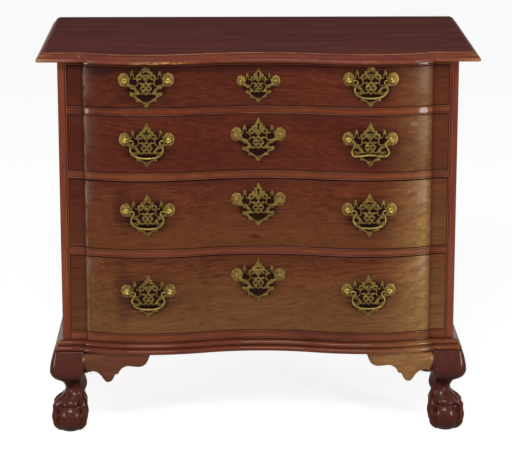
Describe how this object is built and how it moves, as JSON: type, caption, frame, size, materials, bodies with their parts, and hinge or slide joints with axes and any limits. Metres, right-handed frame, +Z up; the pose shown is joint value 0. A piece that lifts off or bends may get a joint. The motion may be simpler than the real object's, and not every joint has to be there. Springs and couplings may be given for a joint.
{
  "type": "chest of drawers",
  "caption": "Reverse serpentine chest of graduated drawers with a moulded overhanging top, swan-neck bail pulls on pierced plates, shaped knee brackets and claw-and-ball feet.",
  "frame": {"origin": "middle of the overall box at the floor", "axes": "+X to the right seen from the front, along the width; -Y to the front, where the drawers open; +Z up"},
  "size_m": [0.978, 0.57, 0.884],
  "materials": {
    "mahogany": "dark red-brown mahogany, old satin polish",
    "light_mahogany": "lighter orange-brown mahogany, satin polish",
    "pine": "unfinished secondary wood, aged",
    "brass": "aged olive-gold brass with rubbed bright edges",
    "iron": "dull dark iron"
  },
  "bodies": {
    "case": {"top_board": "mahogany", "side_left": "mahogany", "side_right": "mahogany", "backboards": "pine", "bottom_board": "pine", "top_rail": "light_mahogany", "divider_1": "light_mahogany", "divider_2": "light_mahogany", "divider_3": "light_mahogany", "bottom_rail": "light_mahogany", "drawer_runners": "pine", "base_molding_front": "light_mahogany", "base_molding_left": "light_mahogany", "base_molding_right": "light_mahogany", "foot_front_left": "mahogany", "foot_front_right": "mahogany", "foot_rear_left": "mahogany", "foot_rear_right": "mahogany", "knee_brackets": "light_mahogany"},
    "drawer_1": {"drawer_1_front": "mahogany", "drawer_1_sides": "pine", "drawer_1_back": "pine", "drawer_1_bottom": "pine", "pull_plates_1": "brass", "pull_posts_1": "brass", "escutcheon_1": "brass", "lock_1": "iron"},
    "drawer_2": {"drawer_2_front": "mahogany", "drawer_2_sides": "pine", "drawer_2_back": "pine", "drawer_2_bottom": "pine", "pull_plates_2": "brass", "pull_posts_2": "brass", "escutcheon_2": "brass", "lock_2": "iron"},
    "drawer_3": {"drawer_3_front": "mahogany", "drawer_3_sides": "pine", "drawer_3_back": "pine", "drawer_3_bottom": "pine", "pull_plates_3": "brass", "pull_posts_3": "brass", "escutcheon_3": "brass", "lock_3": "iron"},
    "drawer_4": {"drawer_4_front": "mahogany", "drawer_4_sides": "pine", "drawer_4_back": "pine", "drawer_4_bottom": "pine", "pull_plates_4": "brass", "pull_posts_4": "brass", "escutcheon_4": "brass"},
    "lock_bolt_1": {"lock_bolt_1": "brass"},
    "lock_bolt_2": {"lock_bolt_2": "brass"},
    "lock_bolt_3": {"lock_bolt_3": "brass"},
    "bail_1_right": {"bail_1_right": "brass"},
    "bail_2_left": {"bail_2_left": "brass"},
    "bail_2_right": {"bail_2_right": "brass"},
    "bail_3_left": {"bail_3_left": "brass"},
    "bail_3_right": {"bail_3_right": "brass"},
    "bail_4_left": {"bail_4_left": "brass"},
    "bail_4_right": {"bail_4_right": "brass"}
  },
  "joints": [
    {"name": "drawer_1_slide", "type": "slide", "parent": "case", "child": "drawer_1", "axis": [0, -1, 0], "range_m": [0, 0.34]},
    {"name": "drawer_2_slide", "type": "slide", "parent": "case", "child": "drawer_2", "axis": [0, -1, 0], "range_m": [0, 0.34]},
    {"name": "drawer_3_slide", "type": "slide", "parent": "case", "child": "drawer_3", "axis": [0, -1, 0], "range_m": [0, 0.34]},
    {"name": "drawer_4_slide", "type": "slide", "parent": "case", "child": "drawer_4", "axis": [0, -1, 0], "range_m": [0, 0.34]},
    {"name": "bail_1_right_hinge", "type": "hinge", "parent": "drawer_1", "child": "bail_1_right", "pos_m": [0.248, -0.2537, 0.821], "axis": [-1, 0, 0], "range_deg": [-6, 150]},
    {"name": "bail_2_left_hinge", "type": "hinge", "parent": "drawer_2", "child": "bail_2_left", "pos_m": [-0.248, -0.2537, 0.687], "axis": [-1, 0, 0], "range_deg": [-6, 150]},
    {"name": "bail_2_right_hinge", "type": "hinge", "parent": "drawer_2", "child": "bail_2_right", "pos_m": [0.248, -0.2537, 0.687], "axis": [-1, 0, 0], "range_deg": [-6, 150]},
    {"name": "bail_3_left_hinge", "type": "hinge", "parent": "drawer_3", "child": "bail_3_left", "pos_m": [-0.248, -0.2537, 0.526], "axis": [-1, 0, 0], "range_deg": [-6, 150]},
    {"name": "bail_3_right_hinge", "type": "hinge", "parent": "drawer_3", "child": "bail_3_right", "pos_m": [0.248, -0.2537, 0.526], "axis": [-1, 0, 0], "range_deg": [-6, 150]},
    {"name": "bail_4_left_hinge", "type": "hinge", "parent": "drawer_4", "child": "bail_4_left", "pos_m": [-0.248, -0.2537, 0.339], "axis": [-1, 0, 0], "range_deg": [-6, 150]},
    {"name": "bail_4_right_hinge", "type": "hinge", "parent": "drawer_4", "child": "bail_4_right", "pos_m": [0.248, -0.2537, 0.339], "axis": [-1, 0, 0], "range_deg": [-6, 150]},
    {"name": "lock_bolt_1_slide", "type": "slide", "parent": "drawer_1", "child": "lock_bolt_1", "axis": [0, 0, 1], "range_m": [0, 0.007]},
    {"name": "lock_bolt_2_slide", "type": "slide", "parent": "drawer_2", "child": "lock_bolt_2", "axis": [0, 0, 1], "range_m": [0, 0.007]},
    {"name": "lock_bolt_3_slide", "type": "slide", "parent": "drawer_3", "child": "lock_bolt_3", "axis": [0, 0, 1], "range_m": [0, 0.007]}
  ]
}
